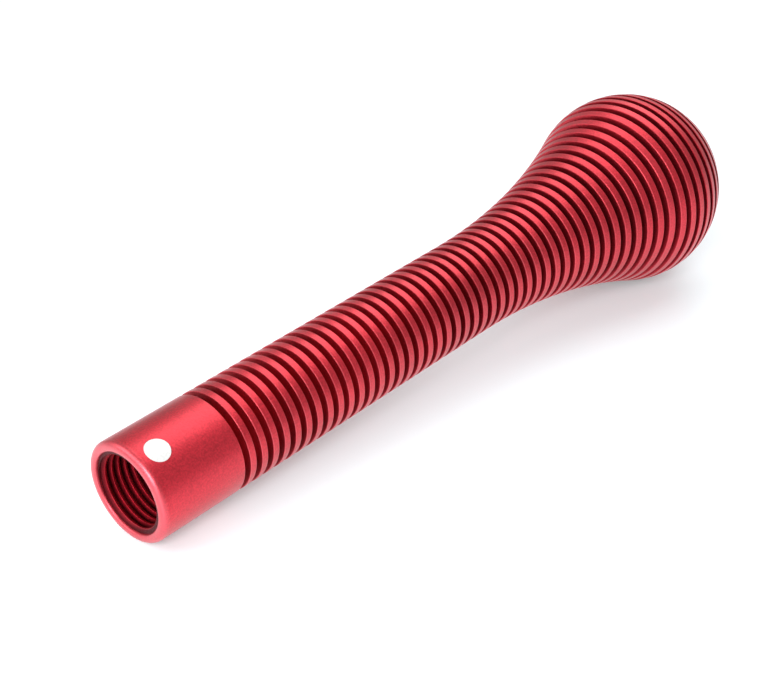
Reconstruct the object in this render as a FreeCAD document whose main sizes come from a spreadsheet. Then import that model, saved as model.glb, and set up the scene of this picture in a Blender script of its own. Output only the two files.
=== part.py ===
"""Tall finned gear-lever knob with a screw-in clamp adapter, in millimetres.

The knob is one turned aluminium billet: a plain collar with an M16 x 1.5 mouth, a straight
finned shaft and a flared ball head. A short threaded adapter screws up the mouth and grips a
plain lever through a nylon sleeve and three grub screws.

The turning axis is +X, from the mouth to the crown of the head, and the origin is the centre
of the mouth's face. +Z is up as the knob lies on its side.
"""

import FreeCAD, Part
import math
import os

import Sketcher

DIMENSIONS = [
    ("shaft_radius", 10.0, "collar and straight shaft"),
    ("collar_length", 18.9, "plain collar, from the mouth's face to the first groove"),
    ("fin_width", 1.45, "one fin, along the axis"),
    ("groove_width", 1.38, "one gap between fins"),
    ("groove_count", 52, "gaps from the collar to the crown"),
    ("groove_depth", 2.2, "square to the outer surface"),
    ("mouth_round", 1.1, "rounded outer edge of the mouth"),
    ("lip_radius", 8.65, "inner edge of the mouth's flat ring"),
    ("lip_depth", 0.6, "inner lip, from the flat ring down to the thread"),
    ("neck_start", 89.9, "end of the straight shaft"),
    ("neck_radius", 140.0, "hollow curve of the flare"),
    ("head_radius", 20.3, "curve of the ball head"),
    ("head_offset", 1.12, "centre of the head's curve, out from the axis"),
    ("crown_radius", 24.0, "flatter curve over the top"),
    ("thread_pitch", 1.5, "M16 x 1.5 in the mouth"),
    ("thread_major", 8.0, "floor of the mouth's thread"),
    ("thread_minor", 7.19, "crest of the mouth's thread"),
    ("thread_play", 0.12, "axial play between the two threads' flanks"),
    ("thread_entry", 0.75, "depth where the thread's crests start"),
    ("relief_start", 16.6, "start of the thread relief"),
    ("relief_radius", 8.1, "thread relief"),
    ("seat_depth", 17.8, "shoulder where the mouth narrows"),
    ("pilot_radius", 6.3, "clearance bore for the lever's tip"),
    ("pilot_depth", 45.0, "clearance bore, to the end of its full width"),
    ("drill_half_angle", 59.0, "cone left by the drill"),
    ("mark_radius", 2.4, "round index mark on the collar"),
    ("mark_place", 4.7, "centre of the mark, from the mouth's face"),
    ("mark_turn", 28.0, "mark's angle from straight up, towards -Y"),
    ("mark_depth", 0.3, "recess that holds the enamel"),
    ("mark_gap", 0.03, "enamel to the recess"),
    ("mark_sink", 0.02, "enamel's face under the collar's surface"),
    ("adapter_face", 10.8, "outer face of the adapter, screwed home"),
    ("adapter_thread", 6.5, "threaded head of the adapter"),
    ("adapter_length", 20.0, "whole adapter"),
    ("adapter_major", 7.8, "crest of the adapter's thread"),
    ("adapter_root", 6.95, "floor of the adapter's thread"),
    ("nose_radius", 6.1, "plain nose of the adapter"),
    ("adapter_bore", 4.8, "bore that takes the sleeve"),
    ("slot_width", 1.6, "driver slot across the adapter's face"),
    ("slot_depth", 1.7, "driver slot"),
    ("flange_radius", 5.8, "sleeve's flange"),
    ("flange_depth", 0.9, "sleeve's flange, sunk in the adapter's face"),
    ("sleeve_play", 0.06, "sleeve to the adapter"),
    ("lever_radius", 4.05, "bore of the sleeve, for an 8 mm lever"),
    ("split_width", 0.8, "lengthwise split in the sleeve"),
    ("screw_radius", 1.43, "M3 grub screw"),
    ("screw_hole", 1.5, "tapped hole for it, at the thread's floor"),
    ("screw_length", 1.95, "grub screw"),
    ("screw_rest", 4.84, "inner end of a tightened grub screw, from the axis"),
    ("screw_place", 14.8, "grub screws, from the mouth's face"),
    ("screw_count", 3, "grub screws round the adapter"),
    ("screw_turn", 30.0, "first grub screw's angle from straight up"),
    ("socket_across", 1.5, "hexagon socket, across its flats"),
    ("socket_depth", 1.1, "hexagon socket"),
    ("overrun", 1.0, "how far a cutter stands past what it cuts"),
]

doc = FreeCAD.newDocument("gear_knob")
sheet = doc.addObject("Spreadsheet::Sheet", "dim")
for row, (alias, number, note) in enumerate(DIMENSIONS, start=1):
    sheet.set("A%d" % row, note)
    sheet.set("B%d" % row, str(number))
    sheet.setAlias("B%d" % row, alias)
doc.recompute()

ALONG = FreeCAD.Rotation(FreeCAD.Vector(0, 1, 0), 90)


def value_of(expression):
    """The number that an expression of the sheet's cells gives now."""
    return float(sheet.evalExpression(expression))


# ---- helpers for turned pieces, whose half outlines lie on the XZ plane ----

def axial_sketch(body):
    """A sketch whose first axis is the turning axis."""
    plane = [feature for feature in body.Origin.OriginFeatures if feature.Role == "XZ_Plane"][0]
    sketch = body.newObject("Sketcher::SketchObject", body.Name + "_outline")
    sketch.AttachmentSupport = [(plane, "")]
    sketch.MapMode = "FlatFace"
    return sketch


def spin(body, sketch):
    """Revolve a sketch once round the turning axis."""
    turned = body.newObject("PartDesign::Revolution", body.Name + "_turned")
    turned.Profile = sketch
    turned.ReferenceAxis = (sketch, ["H_Axis"])
    turned.Angle = 360


def bind(sketch, name, expression, kind, *elements):
    """Add a named sketch dimension and bind it to an expression."""
    index = sketch.addConstraint(Sketcher.Constraint(kind, *elements, value_of(expression)))
    sketch.renameConstraint(index, name)
    sketch.setExpression("Constraints." + name, expression)


def pin_corner(sketch, line, name, axial, radial):
    """Hold the start of a line at a place along the axis and out from it."""
    if value_of(axial) == 0:
        sketch.addConstraint(Sketcher.Constraint("PointOnObject", line, 1, -2))
    else:
        bind(sketch, name + "_along", axial, "DistanceX", -1, 1, line, 1)
    if value_of(radial) == 0:
        sketch.addConstraint(Sketcher.Constraint("PointOnObject", line, 1, -1))
    else:
        bind(sketch, name + "_out", radial, "DistanceY", -1, 1, line, 1)


def draw_outline(sketch, corners):
    """A closed outline with straight edges; corners are (along, out) pairs of expressions."""
    points = [FreeCAD.Vector(value_of(along), value_of(out), 0) for along, out in corners]
    for i, point in enumerate(points):
        following = points[(i + 1) % len(points)]
        sketch.addGeometry(Part.LineSegment(point, following), False)
    for i in range(len(points)):
        following = (i + 1) % len(points)
        sketch.addConstraint(Sketcher.Constraint("Coincident", i, 2, following, 1))
    for i, (along, out) in enumerate(corners):
        pin_corner(sketch, i, "corner%d" % i, along, out)


def turned_body(name, corners):
    """A turned piece with straight edges."""
    body = doc.addObject("PartDesign::Body", name)
    sketch = axial_sketch(body)
    draw_outline(sketch, corners)
    spin(body, sketch)
    return body


def thread_body(name, centre, length, floor, floor_width, top, top_width):
    """A right-hand thread ridge: its section is narrow at the floor radius, wide at the top."""
    body = doc.addObject("PartDesign::Body", name)
    sketch = axial_sketch(body)
    corners = [
        (centre + " - (%s) / 2" % floor_width, floor),
        (centre + " + (%s) / 2" % floor_width, floor),
        (centre + " + (%s) / 2" % top_width, top),
        (centre + " - (%s) / 2" % top_width, top),
    ]
    draw_outline(sketch, corners)
    coil = body.newObject("PartDesign::AdditiveHelix", name + "_coil")
    coil.Profile = sketch
    coil.ReferenceAxis = (sketch, ["H_Axis"])
    coil.Mode = "pitch-height-angle"
    coil.setExpression("Pitch", "dim.thread_pitch")
    coil.setExpression("Height", length)
    return body


def knob_form(name, inset):
    """The knob's outer curve, set in by an expression: collar, neck, ball head and crown."""
    shaft = "dim.shaft_radius - " + inset
    neck = "dim.neck_radius + " + inset
    head = "dim.head_radius - " + inset
    crown = "dim.crown_radius - " + inset
    body = doc.addObject("PartDesign::Body", name)
    sketch = axial_sketch(body)

    # First placing of the arcs; the constraints below hold them to the sheet.
    neck_at = FreeCAD.Vector(value_of("dim.neck_start"), value_of(shaft) + value_of(neck), 0)
    reach = value_of(neck) + value_of(head)
    rise = neck_at.y - value_of("dim.head_offset")
    head_at = FreeCAD.Vector(
        neck_at.x + math.sqrt(reach ** 2 - rise ** 2), value_of("dim.head_offset"), 0
    )
    towards_neck = (neck_at - head_at).normalize()
    neck_end = head_at + towards_neck * value_of(head)
    lean = value_of("dim.head_offset") / (value_of(crown) - value_of(head))
    towards_crown = FreeCAD.Vector(math.sqrt(1 - lean ** 2), lean, 0)
    head_end = head_at + towards_crown * value_of(head)
    crown_at = head_end - towards_crown * value_of(crown)
    top = FreeCAD.Vector(crown_at.x + value_of(crown), 0, 0)
    start = FreeCAD.Vector(0, 0, 0)
    rim = FreeCAD.Vector(0, value_of(shaft), 0)
    neck_start = FreeCAD.Vector(neck_at.x, value_of(shaft), 0)

    def arc(centre, radius, first, last):
        """An anticlockwise arc about a centre from one point to another."""
        angles = [math.atan2(point.y - centre.y, point.x - centre.x) for point in (first, last)]
        circle = Part.Circle(centre, FreeCAD.Vector(0, 0, 1), radius)
        return Part.ArcOfCircle(circle, angles[0], angles[1])

    face_line, shaft_line, neck_arc, head_arc, crown_arc, axis_line = range(6)
    sketch.addGeometry(Part.LineSegment(start, rim), False)
    sketch.addGeometry(Part.LineSegment(rim, neck_start), False)
    sketch.addGeometry(arc(neck_at, value_of(neck), neck_start, neck_end), False)
    sketch.addGeometry(arc(head_at, value_of(head), head_end, neck_end), False)
    sketch.addGeometry(arc(crown_at, value_of(crown), top, head_end), False)
    sketch.addGeometry(Part.LineSegment(top, start), False)

    join = Sketcher.Constraint
    sketch.addConstraint(join("Coincident", face_line, 1, -1, 1))
    sketch.addConstraint(join("Vertical", face_line))
    sketch.addConstraint(join("Coincident", face_line, 2, shaft_line, 1))
    sketch.addConstraint(join("Horizontal", shaft_line))
    sketch.addConstraint(join("Tangent", shaft_line, 2, neck_arc, 1))
    sketch.addConstraint(join("Tangent", neck_arc, 2, head_arc, 2))
    sketch.addConstraint(join("Tangent", head_arc, 1, crown_arc, 2))
    sketch.addConstraint(join("Coincident", crown_arc, 1, axis_line, 1))
    sketch.addConstraint(join("Coincident", axis_line, 2, face_line, 1))
    sketch.addConstraint(join("PointOnObject", crown_arc, 1, -1))
    sketch.addConstraint(join("PointOnObject", crown_arc, 3, -1))
    bind(sketch, "shaft", shaft, "DistanceY", -1, 1, face_line, 2)
    bind(sketch, "straight", "dim.neck_start", "DistanceX", -1, 1, shaft_line, 2)
    bind(sketch, "neck", neck, "Radius", neck_arc)
    bind(sketch, "head", head, "Radius", head_arc)
    bind(sketch, "crown", crown, "Radius", crown_arc)
    bind(sketch, "offset", "dim.head_offset", "DistanceY", -1, 1, head_arc, 3)
    spin(body, sketch)
    return body


# ---- helpers for everything else ----

def primitive(kind, name, sizes, axial, turn="0", out="0"):
    """A Part primitive, its own Z turned from straight up towards -Y and set out from the axis."""
    solid = doc.addObject("Part::" + kind, name)
    for key, expression in sizes.items():
        solid.setExpression(key, expression)
    round_axis = FreeCAD.Rotation(FreeCAD.Vector(1, 0, 0), max(value_of(turn), 1e-6))
    solid.Placement = FreeCAD.Placement(FreeCAD.Vector(0, 0, 0), round_axis)
    solid.setExpression("Placement.Rotation.Angle", turn)
    solid.setExpression("Placement.Base.x", axial)
    solid.setExpression("Placement.Base.y", "-(%s) * sin(%s * 1 deg)" % (out, turn))
    solid.setExpression("Placement.Base.z", "(%s) * cos(%s * 1 deg)" % (out, turn))
    return solid


def disc(name, radius, length, axial):
    """A cylinder on the turning axis."""
    solid = doc.addObject("Part::Cylinder", name)
    solid.setExpression("Radius", radius)
    solid.setExpression("Height", length)
    solid.Placement = FreeCAD.Placement(FreeCAD.Vector(0, 0, 0), ALONG)
    solid.setExpression("Placement.Base.x", axial)
    return solid


def gather(name, shapes):
    """One object from several that don't touch."""
    group = doc.addObject("Part::Compound", name)
    group.Links = shapes
    return group


def combine(kind, name, base, tool):
    """A Part::Cut, Part::Common or Part::Fuse of two objects."""
    result = doc.addObject("Part::" + kind, name)
    result.Base = base
    result.Tool = tool
    return result


subparts = {}


def finish_subpart(name, solid):
    """Give a finished piece the name of its file."""
    solid.Label = name
    subparts[name] = solid


# ---- knob body: one aluminium billet, turned, grooved and threaded ----

def round_mouth(body):
    """Round the outer edge of the mouth."""
    nearly = 0.01
    turned = body.Tip
    rim = [
        "Edge%d" % (i + 1)
        for i, edge in enumerate(turned.Shape.Edges)
        if edge.BoundBox.XMax < nearly and edge.BoundBox.ZMax > value_of("dim.shaft_radius") - nearly
    ]
    fillet = body.newObject("PartDesign::Fillet", body.Name + "_mouth")
    fillet.Base = (turned, rim)
    fillet.setExpression("Radius", "dim.mouth_round")


outer_form = knob_form("outer_form", "0")
core_form = knob_form("core_form", "dim.groove_depth")
doc.recompute()
round_mouth(outer_form)

rings = []
for i in range(int(value_of("dim.groove_count"))):
    place = "dim.collar_length + %d * (dim.fin_width + dim.groove_width)" % i
    rings.append(disc("ring%d" % i, "dim.head_radius + dim.head_offset + 1",
                      "dim.groove_width", place))
groove_cutter = combine("Cut", "groove_cutter", gather("rings", rings), core_form)
finned_form = combine("Cut", "finned_form", outer_form, groove_cutter)

bore = turned_body("bore", [
    ("-dim.overrun", "0"),
    ("-dim.overrun", "dim.lip_radius"),
    ("0", "dim.lip_radius"),
    ("dim.lip_depth", "dim.thread_major + 0.05"),
    ("dim.thread_entry", "dim.thread_minor"),
    ("dim.relief_start", "dim.thread_minor"),
    ("dim.relief_start", "dim.relief_radius"),
    ("dim.seat_depth", "dim.relief_radius"),
    ("dim.seat_depth", "dim.pilot_radius"),
    ("dim.pilot_depth", "dim.pilot_radius"),
    ("dim.pilot_depth + dim.pilot_radius / tan(dim.drill_half_angle * 1 deg)", "0"),
])
mouth_thread = thread_body(
    "mouth_thread",
    centre="-1.2 * dim.thread_pitch",
    length="dim.relief_start + 1.4 * dim.thread_pitch",
    floor="dim.thread_major",
    floor_width="dim.thread_pitch / 8",
    top="dim.thread_minor - 0.2",
    top_width="dim.thread_pitch / 8 + 2 * (dim.thread_major - dim.thread_minor + 0.2) * tan(30 deg)",
)
threaded_bore = combine("Fuse", "threaded_bore", bore, mouth_thread)
bored_form = combine("Cut", "bored_form", finned_form, threaded_bore)


def mark_block(name, radius, floor, face):
    """A disc of the index mark between two radii of the collar."""
    plug = primitive("Cylinder", name + "_plug", {"Radius": radius, "Height": "dim.shaft_radius"},
                     "dim.mark_place", "dim.mark_turn")
    shell = combine("Cut", name + "_shell", disc(name + "_outer", face, "dim.collar_length", "0"),
                    disc(name + "_inner", floor, "dim.collar_length", "0"))
    return combine("Common", name, plug, shell)


mark_recess = mark_block("mark_recess", "dim.mark_radius", "dim.shaft_radius - dim.mark_depth",
                         "dim.shaft_radius + dim.overrun")
finish_subpart("knob_body", combine("Cut", "marked_form", bored_form, mark_recess))

# ---- index mark: white enamel in the recess of the collar ----

finish_subpart("index_mark", mark_block(
    "enamel",
    "dim.mark_radius - dim.mark_gap",
    "dim.shaft_radius - dim.mark_depth + dim.mark_gap",
    "dim.shaft_radius - dim.mark_sink",
))

# ---- lever adapter: threaded head and plain nose, with three tapped holes ----

adapter_form = turned_body("adapter_form", [
    ("dim.adapter_face", "dim.flange_radius + dim.sleeve_play"),
    ("dim.adapter_face", "dim.adapter_major - 0.5"),
    ("dim.adapter_face + 0.5", "dim.adapter_major"),
    ("dim.adapter_face + dim.adapter_thread", "dim.adapter_major"),
    ("dim.adapter_face + dim.adapter_thread", "dim.nose_radius"),
    ("dim.adapter_face + dim.adapter_length - 0.6", "dim.nose_radius"),
    ("dim.adapter_face + dim.adapter_length", "dim.nose_radius - 0.6"),
    ("dim.adapter_face + dim.adapter_length", "dim.adapter_bore"),
    ("dim.adapter_face + dim.flange_depth + dim.sleeve_play", "dim.adapter_bore"),
    ("dim.adapter_face + dim.flange_depth + dim.sleeve_play", "dim.flange_radius + dim.sleeve_play"),
])
# Its grooves run between the mouth's, half a pitch on, wider by the play on each flank.
adapter_groove = thread_body(
    "adapter_groove",
    centre="6.3 * dim.thread_pitch",
    length="dim.adapter_thread + 2 * dim.thread_pitch",
    floor="dim.adapter_root",
    floor_width="dim.thread_pitch / 4 + 2 * dim.thread_play"
                " - 2 * (dim.thread_minor - dim.adapter_root) * tan(30 deg)",
    top="dim.adapter_major + 0.08",
    top_width="dim.thread_pitch / 4 + 2 * dim.thread_play"
              " + 2 * (dim.adapter_major + 0.08 - dim.thread_minor) * tan(30 deg)",
)
driver_slot = doc.addObject("Part::Box", "driver_slot")
driver_slot.setExpression("Length", "dim.slot_depth + dim.overrun")
driver_slot.setExpression("Width", "dim.slot_width")
driver_slot.setExpression("Height", "4 * dim.adapter_major")
driver_slot.setExpression("Placement.Base.x", "dim.adapter_face - dim.overrun")
driver_slot.setExpression("Placement.Base.y", "-dim.slot_width / 2")
driver_slot.setExpression("Placement.Base.z", "-2 * dim.adapter_major")
slotted_adapter = combine("Cut", "slotted_adapter", adapter_form, driver_slot)

screw_turns = [
    "(dim.screw_turn + %d * 360 / dim.screw_count)" % i
    for i in range(int(value_of("dim.screw_count")))
]
screw_holes = [
    primitive("Cylinder", "screw_hole%d" % i, {"Radius": "dim.screw_hole", "Height": "2 * dim.nose_radius"},
              "dim.screw_place", turn)
    for i, turn in enumerate(screw_turns)
]
tapped_adapter = combine("Cut", "tapped_adapter", slotted_adapter, gather("screw_holes", screw_holes))
finish_subpart("lever_adapter", combine("Cut", "threaded_adapter", tapped_adapter, adapter_groove))

# ---- lever sleeve: split nylon bush with a flange, inside the adapter ----

sleeve_form = turned_body("sleeve_form", [
    ("dim.adapter_face", "dim.lever_radius"),
    ("dim.adapter_face", "dim.flange_radius"),
    ("dim.adapter_face + dim.flange_depth", "dim.flange_radius"),
    ("dim.adapter_face + dim.flange_depth", "dim.adapter_bore - dim.sleeve_play"),
    ("dim.adapter_face + dim.adapter_length", "dim.adapter_bore - dim.sleeve_play"),
    ("dim.adapter_face + dim.adapter_length", "dim.lever_radius"),
])
split = doc.addObject("Part::Box", "split")
split.setExpression("Length", "dim.adapter_length + 2 * dim.overrun")
split.setExpression("Width", "dim.split_width")
split.setExpression("Height", "2 * dim.flange_radius")
split.setExpression("Placement.Base.x", "dim.adapter_face - dim.overrun")
split.setExpression("Placement.Base.y", "-dim.split_width / 2")
finish_subpart("lever_sleeve", combine("Cut", "split_sleeve", sleeve_form, split))

# ---- grub screws: M3, with a hexagon socket in the outer end ----

for i, turn in enumerate(screw_turns):
    shank = primitive("Cylinder", "shank%d" % i,
                      {"Radius": "dim.screw_radius", "Height": "dim.screw_length"},
                      "dim.screw_place", turn, "dim.screw_rest")
    socket = primitive("Prism", "socket%d" % i,
                       {"Circumradius": "dim.socket_across / (2 * cos(30 deg))",
                        "Height": "dim.socket_depth + dim.overrun"},
                       "dim.screw_place", turn,
                       "dim.screw_rest + dim.screw_length - dim.socket_depth")
    finish_subpart("grub_screw_%d" % (i + 1), combine("Cut", "drilled_screw%d" % i, shank, socket))

# ---- recompute, check and write ----

doc.recompute()
for item in doc.Objects:
    if "Invalid" in item.State or "Error" in item.State:
        raise RuntimeError("%s did not rebuild: %s" % (item.Name, item.State))
os.makedirs("parts", exist_ok=True)
for name, solid in subparts.items():
    shape = solid.Shape
    if shape.isNull() or not shape.isValid() or len(shape.Solids) != 1:
        raise RuntimeError("%s is not one sound solid" % name)
    shape.exportStep("parts/%s.step" % name)
    box = shape.BoundBox
    print("%-14s %9.1f mm3  x %.2f..%.2f  z %.2f..%.2f"
          % (name, shape.Volume, box.XMin, box.XMax, box.ZMin, box.ZMax))
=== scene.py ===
import math

import bmesh
import bpy
from mathutils import Matrix, Vector


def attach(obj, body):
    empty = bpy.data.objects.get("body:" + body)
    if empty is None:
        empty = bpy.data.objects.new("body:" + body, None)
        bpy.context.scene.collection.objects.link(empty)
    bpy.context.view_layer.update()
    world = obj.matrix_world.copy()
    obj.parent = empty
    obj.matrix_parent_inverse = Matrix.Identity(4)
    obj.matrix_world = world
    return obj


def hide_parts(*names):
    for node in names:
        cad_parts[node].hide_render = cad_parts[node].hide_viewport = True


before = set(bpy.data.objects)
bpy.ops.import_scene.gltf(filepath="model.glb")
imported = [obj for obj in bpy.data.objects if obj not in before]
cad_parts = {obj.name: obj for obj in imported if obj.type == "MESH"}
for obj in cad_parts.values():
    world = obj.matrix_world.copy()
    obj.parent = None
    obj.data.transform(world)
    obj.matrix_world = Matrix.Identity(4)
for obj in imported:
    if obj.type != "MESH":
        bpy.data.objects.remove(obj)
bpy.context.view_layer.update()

# ---- Knob body ----
# One aluminium billet, turned on a lathe: a plain collar with a threaded mouth, a straight
# finned shaft, a flared neck and a finned ball head. It is bead blasted and then dyed red.

mm = 0.001
collar_radius = 10.0 * mm
collar_length = 18.9 * mm
fin_width = 1.45 * mm
groove_width = 1.38 * mm
groove_count = 52
groove_depth = 2.2 * mm
fin_edge = 0.13 * mm
mouth_round = 1.1 * mm
inner_round = 0.6 * mm
neck_start = 89.9 * mm
neck_curve = 140.0 * mm
head_curve = 20.3 * mm
head_offset = 1.12 * mm
crown_curve = 24.0 * mm
turned_sides = 128

neck_centre = Vector((neck_start, collar_radius + neck_curve))
head_rise = neck_centre.y - head_offset
head_run = math.sqrt((neck_curve + head_curve) ** 2 - head_rise ** 2)
head_centre = Vector((neck_start + head_run, head_offset))
towards_neck = (neck_centre - head_centre).normalized()
crown_lean = head_offset / (crown_curve - head_curve)
towards_crown = math.sqrt(1 - crown_lean ** 2)
crown_centre = head_centre.x - (crown_curve - head_curve) * towards_crown


def knob_radius(along, inset=0.0):
    """Radius of the knob's curve, or of the curve set in under the fins, at a place along it."""
    if along <= neck_start:
        return collar_radius - inset
    if along <= head_centre.x + (head_curve - inset) * towards_neck.x:
        return neck_centre.y - math.sqrt((neck_curve + inset) ** 2 - (along - neck_start) ** 2)
    if along <= head_centre.x + (head_curve - inset) * towards_crown:
        return head_offset + math.sqrt((head_curve - inset) ** 2 - (along - head_centre.x) ** 2)
    return math.sqrt(max((crown_curve - inset) ** 2 - (along - crown_centre) ** 2, 0.0))


def draw_section(name, points, closed=False):
    """Extrude one vertex through (along, out) points, which makes half of a turned outline."""
    bpy.ops.object.select_all(action="DESELECT")
    bpy.ops.mesh.primitive_plane_add(size=mm)
    piece = bpy.context.object
    piece.name = piece.data.name = name
    bpy.ops.object.mode_set(mode="EDIT")
    bpy.ops.mesh.select_mode(type="VERT")
    bpy.ops.mesh.merge(type="CENTER")
    here = Vector((0.0, 0.0))
    for index, point in enumerate(points):
        step = Vector(point) - here
        move = (step.x, 0.0, step.y)
        if index == 0:
            bpy.ops.transform.translate(value=move)
        else:
            bpy.ops.mesh.extrude_vertices_move(TRANSFORM_OT_translate={"value": move})
        here = Vector(point)
    if closed:
        mesh = bmesh.from_edit_mesh(piece.data)
        mesh.verts.ensure_lookup_table()
        mesh.verts[0].select_set(True)
        bmesh.update_edit_mesh(piece.data)
        bpy.ops.mesh.edge_face_add()
    return piece


def select_near(piece, places, reach):
    """Select the vertices of a section that stand at any of these (along, out) places."""
    mesh = bmesh.from_edit_mesh(piece.data)
    for vert in mesh.verts:
        place = Vector((vert.co.x, vert.co.z))
        vert.select_set(any((place - corner).length < reach for corner in places))
    mesh.select_flush(True)
    bmesh.update_edit_mesh(piece.data)


def cut_away(piece, cutter):
    """Cut one closed piece out of another and throw the cutter away."""
    bpy.ops.object.select_all(action="DESELECT")
    bpy.context.view_layer.objects.active = piece
    piece.select_set(True)
    cut = piece.modifiers.new("cut", "BOOLEAN")
    cut.operation = "DIFFERENCE"
    cut.solver = "EXACT"
    cut.object = cutter
    bpy.ops.object.modifier_apply(modifier=cut.name)
    bpy.data.objects.remove(cutter)


# The bore, from the drill's point out to the mouth.
thread_pitch = 1.5 * mm
thread_floor = 8.0 * mm
thread_crest = 7.19 * mm
thread_entry = 0.75 * mm
wall_before_thread = 8.05 * mm
relief_start, relief_end, relief_radius = 16.6 * mm, 17.8 * mm, 8.1 * mm
pilot_radius, pilot_end = 6.3 * mm, 45.0 * mm
drill_point = pilot_end + pilot_radius / math.tan(math.radians(59))
outline = [
    (drill_point, 0.0),
    (pilot_end, pilot_radius),
    (relief_end, pilot_radius),
    (relief_end, relief_radius),
    (relief_start, relief_radius),
    (relief_start, thread_crest),
    (thread_entry, thread_crest),
]
# The rounded lip of the mouth, inside and then outside.
lip_steps = 6
for step in range(lip_steps + 1):
    turn = step / lip_steps * math.pi / 2
    outline.append((
        inner_round - inner_round * math.sin(turn),
        wall_before_thread + inner_round - inner_round * math.cos(turn),
    ))
for step in range(lip_steps + 1):
    turn = step / lip_steps * math.pi / 2
    outline.append((
        mouth_round - mouth_round * math.cos(turn),
        collar_radius - mouth_round + mouth_round * math.sin(turn),
    ))
# The grooves, each square to the axis, with its floor on the curve set in under the fins.
fin_corners = []
for groove in range(groove_count):
    front = collar_length + groove * (fin_width + groove_width)
    back = front + groove_width
    fin_corners += [Vector((front, knob_radius(front))), Vector((back, knob_radius(back)))]
    outline += [
        (front, knob_radius(front)),
        (front, knob_radius(front, groove_depth)),
        (back, knob_radius(back, groove_depth)),
        (back, knob_radius(back)),
    ]
# The plain crown, up to its middle.
crown_steps = 12
crown_start = math.asin(knob_radius(back) / crown_curve)
for step in range(1, crown_steps + 1):
    turn = crown_start * (1 - step / crown_steps)
    outline.append((crown_centre + crown_curve * math.cos(turn), crown_curve * math.sin(turn)))

body = draw_section("knob_shell", outline)
select_near(body, fin_corners, 0.01 * mm)
bpy.ops.mesh.bevel(offset=fin_edge, segments=2, affect="VERTICES")
bpy.ops.mesh.select_all(action="SELECT")
bpy.ops.mesh.spin(steps=turned_sides, angle=math.tau, center=(0, 0, 0), axis=(1, 0, 0))
bpy.ops.mesh.select_all(action="SELECT")
bpy.ops.mesh.remove_doubles(threshold=0.001 * mm)
bpy.ops.mesh.normals_make_consistent(inside=False)
bpy.ops.object.mode_set(mode="OBJECT")

# The thread is cut by a tool of its own section, wound through the mouth.
flank = math.tan(math.radians(30))
tool_nose = thread_pitch / 8
crest_edge = 0.10 * mm
tool_waist = tool_nose + 2 * (thread_floor - thread_crest - crest_edge) * flank
tool_back = tool_waist + 2 * crest_edge
tool_inside = thread_crest - 0.2 * mm
thread_start = -1.2 * thread_pitch
thread_turns, steps_per_turn = 12, 96
tool = draw_section("thread_tool", [
    (thread_start - tool_back / 2, tool_inside),
    (thread_start + tool_back / 2, tool_inside),
    (thread_start + tool_back / 2, thread_crest),
    (thread_start + tool_waist / 2, thread_crest + crest_edge),
    (thread_start + tool_nose / 2, thread_floor),
    (thread_start - tool_nose / 2, thread_floor),
    (thread_start - tool_waist / 2, thread_crest + crest_edge),
    (thread_start - tool_back / 2, thread_crest),
], closed=True)
bpy.ops.mesh.select_all(action="SELECT")
bpy.ops.mesh.delete(type="ONLY_FACE")
bpy.ops.object.mode_set(mode="OBJECT")
winding = tool.modifiers.new("winding", "SCREW")
winding.axis = "X"
winding.angle = math.tau
winding.screw_offset = thread_pitch
winding.iterations = thread_turns
winding.steps = winding.render_steps = steps_per_turn
winding.use_merge_vertices = False
bpy.ops.object.modifier_apply(modifier=winding.name)
bpy.ops.object.mode_set(mode="EDIT")
bpy.ops.mesh.select_all(action="DESELECT")
wound = bmesh.from_edit_mesh(tool.data)
for edge in [edge for edge in wound.edges if edge.is_boundary]:
    edge.select_set(True)
bmesh.update_edit_mesh(tool.data)
bpy.ops.mesh.fill()
bpy.ops.mesh.select_all(action="SELECT")
bpy.ops.mesh.normals_make_consistent(inside=False)
bpy.ops.object.mode_set(mode="OBJECT")
cut_away(body, tool)

# The shallow round pocket for the mark's enamel, square to the collar.
mark_radius = 2.4 * mm
mark_place = 4.7 * mm
mark_turn = math.radians(28)
mark_sides = 64
pocket_floor = 9.4 * mm
pocket_top = 11.0 * mm
outwards = Vector((0.0, -math.sin(mark_turn), math.cos(mark_turn)))
bpy.ops.object.select_all(action="DESELECT")
bpy.ops.mesh.primitive_cylinder_add(
    vertices=mark_sides,
    radius=mark_radius,
    depth=pocket_top - pocket_floor,
    location=Vector((mark_place, 0.0, 0.0)) + outwards * (pocket_top + pocket_floor) / 2,
    rotation=(mark_turn, 0.0, 0.0),
)
cut_away(body, bpy.context.object)
bpy.ops.object.shade_smooth_by_angle(angle=math.radians(18))


# The finishes are built from here on, the knob's first.


def add_node(tree, kind, place, settings):
    """Add a node at a place on a sheet, with its settings and the values of its inputs."""
    node = tree.nodes.new(kind)
    node.location = place
    for key, value in settings.items():
        if isinstance(key, int) or key in node.inputs:
            node.inputs[key].default_value = value
        else:
            setattr(node, key, value)
    return node


def new_group(name, size, outputs):
    """An effect that several finishes share; it takes a size and gives out plain values."""
    tree = bpy.data.node_groups.new(name, "ShaderNodeTree")
    entry = tree.interface.new_socket(name="Scale", in_out="INPUT", socket_type="NodeSocketFloat")
    entry.default_value = size
    for output in outputs:
        tree.interface.new_socket(name=output, in_out="OUTPUT", socket_type="NodeSocketFloat")
    given = add_node(tree, "NodeGroupInput", (-900, 0), {})
    taken = add_node(tree, "NodeGroupOutput", (500, 0), {})
    place = add_node(tree, "ShaderNodeTexCoord", (-900, -200), {})
    return tree, given, taken, place


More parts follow.
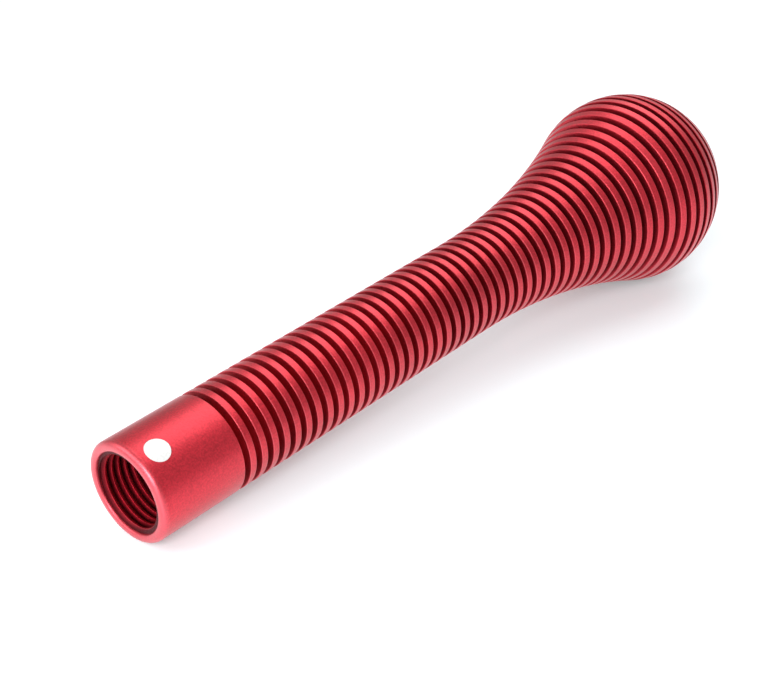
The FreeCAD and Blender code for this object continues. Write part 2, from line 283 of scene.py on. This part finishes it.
# Fine grain of a blasted or moulded surface: a height, and a mask of its spots.
grain, given, taken, place = new_group("fine_grain", 4000.0, ("Height", "Spots"))
speckle = add_node(grain, "ShaderNodeTexNoise", (-600, 0), {"Detail": 3.0, "Roughness": 0.6})
spots = add_node(grain, "ShaderNodeMapRange", (-200, -200), {"From Min": 0.35, "From Max": 0.65})
grain.links.new(place.outputs["Object"], speckle.inputs["Vector"])
grain.links.new(given.outputs["Scale"], speckle.inputs["Scale"])
grain.links.new(speckle.outputs["Fac"], spots.inputs["Value"])
grain.links.new(speckle.outputs["Fac"], taken.inputs["Height"])
grain.links.new(spots.outputs["Result"], taken.inputs["Spots"])

# Marks of the lathe: rings round the turning axis. It also gives out the place along the axis
# and the distance out from it.
rings, given, taken, place = new_group("turning_rings", 6000.0, ("Height", "Along", "Out"))
split = add_node(rings, "ShaderNodeSeparateXYZ", (-700, 0), {})
sideways = add_node(rings, "ShaderNodeMath", (-500, -100), {"operation": "POWER", 1: 2.0})
upwards = add_node(rings, "ShaderNodeMath", (-500, -250), {"operation": "POWER", 1: 2.0})
total = add_node(rings, "ShaderNodeMath", (-300, -150), {"operation": "ADD"})
outwards = add_node(rings, "ShaderNodeMath", (-150, -150), {"operation": "SQRT"})
unrolled = add_node(rings, "ShaderNodeCombineXYZ", (0, 0), {})
marks = add_node(rings, "ShaderNodeTexNoise", (200, 0), {"Detail": 2.0})
rings.links.new(place.outputs["Object"], split.inputs["Vector"])
rings.links.new(split.outputs["Y"], sideways.inputs[0])
rings.links.new(split.outputs["Z"], upwards.inputs[0])
rings.links.new(sideways.outputs["Value"], total.inputs[0])
rings.links.new(upwards.outputs["Value"], total.inputs[1])
rings.links.new(total.outputs["Value"], outwards.inputs[0])
rings.links.new(split.outputs["X"], unrolled.inputs["X"])
rings.links.new(outwards.outputs["Value"], unrolled.inputs["Y"])
rings.links.new(unrolled.outputs["Vector"], marks.inputs["Vector"])
rings.links.new(given.outputs["Scale"], marks.inputs["Scale"])
rings.links.new(marks.outputs["Fac"], taken.inputs["Height"])
rings.links.new(split.outputs["X"], taken.inputs["Along"])
rings.links.new(outwards.outputs["Value"], taken.inputs["Out"])

# A slow drift over a piece, for its colour and its gloss.
drift, given, taken, place = new_group("slow_drift", 60.0, ("Amount",))
cloud = add_node(drift, "ShaderNodeTexNoise", (-600, 0), {"Detail": 4.0, "Roughness": 0.55})
spread = add_node(drift, "ShaderNodeMapRange", (-200, 0), {"From Min": 0.3, "From Max": 0.7})
drift.links.new(place.outputs["Object"], cloud.inputs["Vector"])
drift.links.new(given.outputs["Scale"], cloud.inputs["Scale"])
drift.links.new(cloud.outputs["Fac"], spread.inputs["Value"])
drift.links.new(spread.outputs["Result"], taken.inputs["Amount"])


def new_finish(name, colours, gloss, grain_size, grain_depth, ring_size, ring_depth):
    """A finish between two colours and two roughnesses, with a grain over turning rings."""
    material = bpy.data.materials.new(name)
    material.use_nodes = True
    tree = material.node_tree
    shader = tree.nodes["Principled BSDF"]
    clouds = add_node(tree, "ShaderNodeGroup", (-1000, 200), {"node_tree": drift})
    clouds.inputs["Scale"].default_value = 60.0
    fine = add_node(tree, "ShaderNodeGroup", (-1000, -50), {"node_tree": grain})
    fine.inputs["Scale"].default_value = grain_size
    turned = add_node(tree, "ShaderNodeGroup", (-1000, -300), {"node_tree": rings})
    turned.inputs["Scale"].default_value = ring_size
    shares = add_node(tree, "ShaderNodeMath", (-850, 350), {"operation": "MULTIPLY", 1: 0.4})
    patch = add_node(tree, "ShaderNodeMath", (-750, 150), {"operation": "MULTIPLY_ADD", 1: 0.6})
    tint = add_node(tree, "ShaderNodeValToRGB", (-550, 250), {})
    tint.color_ramp.elements[0].color = colours[0] + (1.0,)
    tint.color_ramp.elements[1].color = colours[1] + (1.0,)
    sheen = add_node(tree, "ShaderNodeMapRange", (-550, 0), {"To Min": gloss[0], "To Max": gloss[1]})
    ridges = add_node(tree, "ShaderNodeBump", (-500, -300), {"Distance": ring_depth})
    bumps = add_node(tree, "ShaderNodeBump", (-250, -200), {"Distance": grain_depth})
    tree.links.new(fine.outputs["Spots"], patch.inputs[0])
    tree.links.new(clouds.outputs["Amount"], shares.inputs[0])
    tree.links.new(shares.outputs["Value"], patch.inputs[2])
    tree.links.new(patch.outputs["Value"], tint.inputs["Fac"])
    tree.links.new(patch.outputs["Value"], sheen.inputs["Value"])
    tree.links.new(turned.outputs["Height"], ridges.inputs["Height"])
    tree.links.new(fine.outputs["Height"], bumps.inputs["Height"])
    tree.links.new(ridges.outputs["Normal"], bumps.inputs["Normal"])
    tree.links.new(tint.outputs["Color"], shader.inputs["Base Color"])
    tree.links.new(sheen.outputs["Result"], shader.inputs["Roughness"])
    tree.links.new(bumps.outputs["Normal"], shader.inputs["Normal"])
    return material, shader


red, shader = new_finish(
    "red_anodised",
    colours=((0.46, 0.011, 0.024), (0.79, 0.029, 0.053)),
    gloss=(0.40, 0.50),
    grain_size=2700.0,
    grain_depth=0.055 * mm,
    ring_size=5000.0,
    ring_depth=0.003 * mm,
)
shader.inputs["Metallic"].default_value = 1.0
shader.inputs["Coat Roughness"].default_value = 0.36
shader.inputs["Coat IOR"].default_value = 1.4

sheet = red.node_tree
tint = shader.inputs["Base Color"].links[0].from_node
turned = add_node(sheet, "ShaderNodeGroup", (-1000, 900), {"node_tree": rings})
place = add_node(sheet, "ShaderNodeTexCoord", (-1000, 700), {})
facing = add_node(sheet, "ShaderNodeSeparateXYZ", (-800, 700), {})
sheet.links.new(place.outputs["Normal"], facing.inputs["Vector"])

# A mask of the threaded bore, as far out as the wall of its mouth.
bore_wall = thread_floor + 0.2 * mm
in_collar = add_node(sheet, "ShaderNodeMath", (-800, 1050), {"operation": "LESS_THAN", 1: relief_end})
in_bore = add_node(sheet, "ShaderNodeMath", (-800, 900), {"operation": "LESS_THAN", 1: bore_wall})
in_thread = add_node(sheet, "ShaderNodeMath", (-600, 1000), {"operation": "MULTIPLY"})
sheet.links.new(turned.outputs["Along"], in_collar.inputs[0])
sheet.links.new(turned.outputs["Out"], in_bore.inputs[0])
sheet.links.new(in_collar.outputs["Value"], in_thread.inputs[0])
sheet.links.new(in_bore.outputs["Value"], in_thread.inputs[1])

# Painted shade: the bore is coloured darker than the outside, and the cut flanks of its thread darkest,
# where little light reaches them.
steep = add_node(sheet, "ShaderNodeMath", (-600, 800), {"operation": "ABSOLUTE"})
flanks = add_node(sheet, "ShaderNodeMath", (-400, 850), {"operation": "MULTIPLY"})
flank_shade = add_node(sheet, "ShaderNodeMapRange", (-200, 850), {
    "From Min": 0.7,
    "From Max": 0.85,
    "To Min": 1.0,
    "To Max": 0.18,
})
bore_shade = add_node(sheet, "ShaderNodeMapRange", (-200, 450), {"To Min": 1.0, "To Max": 0.75})
cut_shade = add_node(sheet, "ShaderNodeMath", (-50, 500), {"operation": "MULTIPLY"})
sheet.links.new(facing.outputs["X"], steep.inputs[0])
sheet.links.new(steep.outputs["Value"], flanks.inputs[0])
sheet.links.new(in_thread.outputs["Value"], flanks.inputs[1])
sheet.links.new(flanks.outputs["Value"], flank_shade.inputs["Value"])
sheet.links.new(in_thread.outputs["Value"], bore_shade.inputs["Value"])
sheet.links.new(bore_shade.outputs["Result"], cut_shade.inputs[0])
sheet.links.new(flank_shade.outputs["Result"], cut_shade.inputs[1])

# Painted shade: the colour is darkened where little light gets in, read from the occlusion node, most of
# all in the grooves of the head.
shaft_grooves, head_grooves = 60 * mm, 125 * mm
groove_shade = add_node(sheet, "ShaderNodeMapRange", (-600, 350), {
    "From Min": shaft_grooves,
    "From Max": head_grooves,
    "To Min": 0.7,
    "To Max": 0.42,
})
hollow = add_node(sheet, "ShaderNodeAmbientOcclusion", (-600, 550), {"samples": 8, "Distance": 2.5 * mm})
hollow_shade = add_node(sheet, "ShaderNodeMapRange", (-400, 550), {
    "From Min": 0.25,
    "From Max": 0.9,
    "To Max": 1.0,
})
shade = add_node(sheet, "ShaderNodeMath", (-50, 600), {"operation": "MULTIPLY"})
sheet.links.new(turned.outputs["Along"], groove_shade.inputs["Value"])
sheet.links.new(groove_shade.outputs["Result"], hollow_shade.inputs["To Min"])
sheet.links.new(hollow.outputs["AO"], hollow_shade.inputs["Value"])
sheet.links.new(hollow_shade.outputs["Result"], shade.inputs[0])
sheet.links.new(cut_shade.outputs["Value"], shade.inputs[1])

# The clear sealed skin over the dye is weighted by the painted shade and nearly taken away in the bore,
# which dims its reflection there as more painted shade.
bore_clear = add_node(sheet, "ShaderNodeMapRange", (-100, 250), {"To Min": 0.9, "To Max": 0.1})
clear = add_node(sheet, "ShaderNodeMath", (100, 200), {"operation": "MULTIPLY"})
sheet.links.new(in_thread.outputs["Value"], bore_clear.inputs["Value"])
sheet.links.new(shade.outputs["Value"], clear.inputs[0])
sheet.links.new(bore_clear.outputs["Result"], clear.inputs[1])
sheet.links.new(clear.outputs["Value"], shader.inputs["Coat Weight"])

# Painted highlight: a paler colour where the fins face back towards the mouth at a slant, mostly their
# bevelled front edges, less so towards the head.
fins_start = collar_length - fin_edge
edges_strong, edges_faint = 75 * mm, 120 * mm
turn_x = add_node(sheet, "ShaderNodeMapRange", (-600, 1150), {"From Min": -1.0, "From Max": 1.0})
front_edges = add_node(sheet, "ShaderNodeValToRGB", (-400, 1150), {})
front_edges.color_ramp.elements[0].position = 0.07
front_edges.color_ramp.elements[1].position = 0.14
front_edges.color_ramp.elements.new(0.28).color = (1.0, 1.0, 1.0, 1.0)
front_edges.color_ramp.elements.new(0.33).color = (0.0, 0.0, 0.0, 1.0)
on_fins = add_node(sheet, "ShaderNodeMath", (-600, 1300), {"operation": "GREATER_THAN", 1: fins_start})
fin_edge_highlight = add_node(sheet, "ShaderNodeMath", (-400, 1300), {"operation": "MULTIPLY"})
edge_fade = add_node(sheet, "ShaderNodeMapRange", (-600, 1500), {
    "From Min": edges_strong,
    "From Max": edges_faint,
    "To Min": 1.0,
    "To Max": 0.3,
})
faded_highlight = add_node(sheet, "ShaderNodeMath", (-300, 1300), {"operation": "MULTIPLY"})
sheet.links.new(facing.outputs["X"], turn_x.inputs["Value"])
sheet.links.new(turn_x.outputs["Result"], front_edges.inputs["Fac"])
sheet.links.new(turned.outputs["Along"], on_fins.inputs[0])
sheet.links.new(front_edges.outputs["Color"], fin_edge_highlight.inputs[0])
sheet.links.new(on_fins.outputs["Value"], fin_edge_highlight.inputs[1])
sheet.links.new(turned.outputs["Along"], edge_fade.inputs["Value"])
sheet.links.new(fin_edge_highlight.outputs["Value"], faded_highlight.inputs[0])
sheet.links.new(edge_fade.outputs["Result"], faded_highlight.inputs[1])

# Painted highlight: a little paler colour on the rounded lip of the mouth too.
brightest_lip, lip_beyond_highlight = 0.3 * mm, 1.4 * mm
lip_highlight = add_node(sheet, "ShaderNodeMapRange", (-400, 1450), {
    "From Min": brightest_lip,
    "From Max": lip_beyond_highlight,
    "To Min": 0.4,
    "To Max": 0.0,
})
highlight_share = add_node(sheet, "ShaderNodeMath", (-200, 1100), {"operation": "MAXIMUM"})
# The pale pink of the painted highlights.
painted_highlight = add_node(sheet, "ShaderNodeMix", (-50, 850), {"data_type": "RGBA"})
painted_highlight.inputs[7].default_value = (0.95, 0.2, 0.24, 1.0)
sheet.links.new(turned.outputs["Along"], lip_highlight.inputs["Value"])
sheet.links.new(faded_highlight.outputs["Value"], highlight_share.inputs[0])
sheet.links.new(lip_highlight.outputs["Result"], highlight_share.inputs[1])
sheet.links.new(highlight_share.outputs["Value"], painted_highlight.inputs["Factor"])
sheet.links.new(tint.outputs["Color"], painted_highlight.inputs[6])

# The painted shade goes over the tint and the painted highlights last.
painted_shade_mix = add_node(sheet, "ShaderNodeMix", (100, 400), {
    "data_type": "RGBA",
    "blend_type": "MULTIPLY",
    "Factor": 1.0,
})
sheet.links.new(painted_highlight.outputs[2], painted_shade_mix.inputs[6])
sheet.links.new(shade.outputs["Value"], painted_shade_mix.inputs[7])
sheet.links.new(painted_shade_mix.outputs[2], shader.inputs["Base Color"])
body.data.materials.clear()
body.data.materials.append(red)
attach(body, "knob")
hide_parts("knob_body")

# ---- Index mark ----
# White enamel, wiped into the round pocket of the collar and left a hair under its surface.
# It takes the place of a printed sign.

enamel, shader = new_finish(
    "white_enamel",
    colours=((0.52, 0.52, 0.51), (0.70, 0.70, 0.69)),
    gloss=(0.25, 0.4),
    grain_size=2500.0,
    grain_depth=0.006 * mm,
    ring_size=3000.0,
    ring_depth=0.0,
)
shader.inputs["Coat Weight"].default_value = 0.3


def coat_piece(name, material):
    """Give a piece of the CAD model its finish."""
    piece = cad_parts[name]
    piece.data.materials.clear()
    piece.data.materials.append(material)


coat_piece("index_mark", enamel)

# ---- Lever adapter ----
# A short aluminium plug, turned, threaded outside, slotted for a driver and dyed black. It
# screws up the mouth and carries the three grub screws.

black, shader = new_finish(
    "black_anodised",
    colours=((0.022, 0.022, 0.025), (0.05, 0.05, 0.054)),
    gloss=(0.32, 0.45),
    grain_size=5000.0,
    grain_depth=0.004 * mm,
    ring_size=5000.0,
    ring_depth=0.006 * mm,
)
shader.inputs["Metallic"].default_value = 0.85
coat_piece("lever_adapter", black)

# ---- Lever sleeve ----
# A split bush of white nylon with a thin flange, pressed into the adapter, so that the lever
# neither rattles nor gets scratched.

nylon, shader = new_finish(
    "white_nylon",
    colours=((0.50, 0.47, 0.41), (0.64, 0.61, 0.54)),
    gloss=(0.42, 0.58),
    grain_size=3000.0,
    grain_depth=0.006 * mm,
    ring_size=4000.0,
    ring_depth=0.004 * mm,
)
shader.inputs["Subsurface Weight"].default_value = 0.15
shader.inputs["Subsurface Radius"].default_value = (0.001, 0.0009, 0.0007)
shader.inputs["Subsurface Scale"].default_value = 1.0
coat_piece("lever_sleeve", nylon)

# ---- Grub screws ----
# Three M3 steel screws with a hexagon socket, blackened in a hot bath. They stand in tapped
# holes of the adapter and press the sleeve on the lever.

steel, shader = new_finish(
    "blackened_steel",
    colours=((0.05, 0.05, 0.055), (0.11, 0.105, 0.10)),
    gloss=(0.28, 0.42),
    grain_size=6000.0,
    grain_depth=0.004 * mm,
    ring_size=6000.0,
    ring_depth=0.003 * mm,
)
shader.inputs["Metallic"].default_value = 1.0
for screw in ("grub_screw_1", "grub_screw_2", "grub_screw_3"):
    coat_piece(screw, steel)

# ---- Table, light and camera ----
# A white table that touches the rim of the mouth and the widest part of the head, bright as
# in a product studio, under a large soft light overhead and two more, with the camera at the mouth's
# end.

table_size = 8.0
table_gap = 0.02 * mm
rim_centre = Vector((mouth_round, 0.0, mouth_round - collar_radius))
ball_centre = Vector((head_centre.x, 0.0, -head_offset))
lean = 0.0
for _ in range(20):
    rise = (head_curve - mouth_round) - (ball_centre.z - rim_centre.z) * math.cos(lean)
    lean = math.asin(rise / (ball_centre.x - rim_centre.x))
table_up = Vector((math.sin(lean), 0.0, math.cos(lean)))
table_touch = ball_centre - table_up * (head_curve + table_gap)
bpy.ops.object.select_all(action="DESELECT")
bpy.ops.mesh.primitive_plane_add(size=table_size, location=table_touch, rotation=(0.0, lean, 0.0))
table = bpy.context.object
table.name = "table"
paint = bpy.data.materials.new("white_table")
paint.use_nodes = True
shader = paint.node_tree.nodes["Principled BSDF"]
shader.inputs["Base Color"].default_value = (0.72, 0.79, 0.82, 1.0)
shader.inputs["Roughness"].default_value = 0.3
shader.inputs["Emission Color"].default_value = (0.96, 1.0, 1.0, 1.0)
shader.inputs["Emission Strength"].default_value = 0.26
table.data.materials.append(paint)

world = bpy.data.worlds.new("studio")
bpy.context.scene.world = world
world.use_nodes = True
world.node_tree.nodes["Background"].inputs["Color"].default_value = (1.0, 1.0, 1.0, 1.0)
world.node_tree.nodes["Background"].inputs["Strength"].default_value = 0.45


def soft_light(name, place, target, size, power):
    """A square soft light aimed at a point."""
    bpy.ops.object.light_add(type="AREA", location=place)
    light = bpy.context.object
    light.name = name
    light.data.size = size
    light.data.energy = power
    light.rotation_euler = (Vector(target) - Vector(place)).to_track_quat("-Z", "Y").to_euler()
    return light


middle = (0.08, 0.0, 0.0)
soft_light("overhead", (0.60, 0.12, 0.75), middle, 0.8, 4.5)
soft_light("behind the mouth", (-0.55, 0.40, 0.60), middle, 0.7, 4.0)
soft_light("beside the camera", (-0.45, -0.33, 0.40), middle, 0.3, 5.0)

camera_place = Vector((-126.6, -186.1, 159.8)) * mm
ahead = Vector((0.61717, 0.59061, -0.51989)).normalized()
across = ahead.cross(table_up).normalized()
upright = across.cross(ahead)
bpy.ops.object.camera_add(location=camera_place)
camera = bpy.context.object
camera.rotation_euler = Matrix((across, upright, -ahead)).transposed().to_euler()
camera.data.lens = 72.72
camera.data.sensor_width = 36.0
camera.data.clip_start = 1 * mm
bpy.context.scene.camera = camera
bpy.context.scene.view_settings.view_transform = "Standard"
